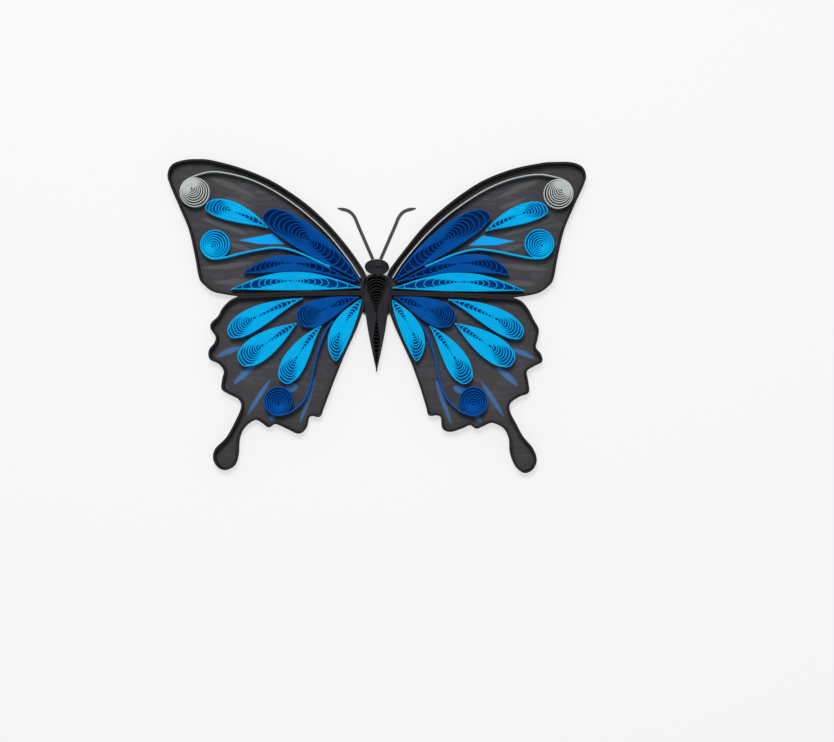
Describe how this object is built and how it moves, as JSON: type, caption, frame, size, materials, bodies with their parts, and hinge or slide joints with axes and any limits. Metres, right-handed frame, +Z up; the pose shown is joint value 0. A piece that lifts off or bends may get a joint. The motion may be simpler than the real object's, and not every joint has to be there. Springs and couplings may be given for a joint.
{
  "type": "quilled paper butterfly",
  "caption": "Flat paper butterfly: rimmed card wings filled with standing quilled coils and scrolls, a coiled body and head, and two hooked card antennae.",
  "frame": {"origin": "on the underside, on the long axis of the body, level with the seam between the wings", "axes": "+Z up out of the face of the wings, +Y towards the head, +X towards the right wing tip"},
  "size_m": [0.0869, 0.0652, 0.0033],
  "materials": {
    "grey_card": "matt printed card, dark grey with lighter grey and blue strokes",
    "black_paper": "matt dyed paper, cut edge up",
    "silver_paper": "matt silver grey paper, cut edge up",
    "light_blue_paper": "matt light blue paper, cut edge up",
    "dark_blue_paper": "matt dark blue paper, cut edge up",
    "antenna_card": "matt dark grey card"
  },
  "bodies": {
    "root": {"left_forewing_sheet": "grey_card", "left_hindwing_sheet": "grey_card", "left_forewing_rim": "black_paper", "left_hindwing_rim": "black_paper", "left_silver_scroll": "silver_paper", "left_sky_scroll": "light_blue_paper", "left_upper_drop": "light_blue_paper", "left_long_leaf": "light_blue_paper", "left_large_leaf": "dark_blue_paper", "left_curved_leaf": "dark_blue_paper", "left_outer_drop": "light_blue_paper", "left_middle_drop": "light_blue_paper", "left_inner_drop": "light_blue_paper", "left_body_drop": "light_blue_paper", "left_royal_drop": "dark_blue_paper", "left_royal_scroll": "dark_blue_paper", "right_forewing_sheet": "grey_card", "right_hindwing_sheet": "grey_card", "right_forewing_rim": "black_paper", "right_hindwing_rim": "black_paper", "right_silver_scroll": "silver_paper", "right_sky_scroll": "light_blue_paper", "right_upper_drop": "light_blue_paper", "right_long_leaf": "light_blue_paper", "right_large_leaf": "dark_blue_paper", "right_curved_leaf": "dark_blue_paper", "right_outer_drop": "light_blue_paper", "right_middle_drop": "light_blue_paper", "right_inner_drop": "light_blue_paper", "right_body_drop": "light_blue_paper", "right_royal_drop": "dark_blue_paper", "right_royal_scroll": "dark_blue_paper", "head_coil": "black_paper", "body_coil": "black_paper", "left_antenna": "antenna_card", "right_antenna": "antenna_card"}
  },
  "joints": []
}
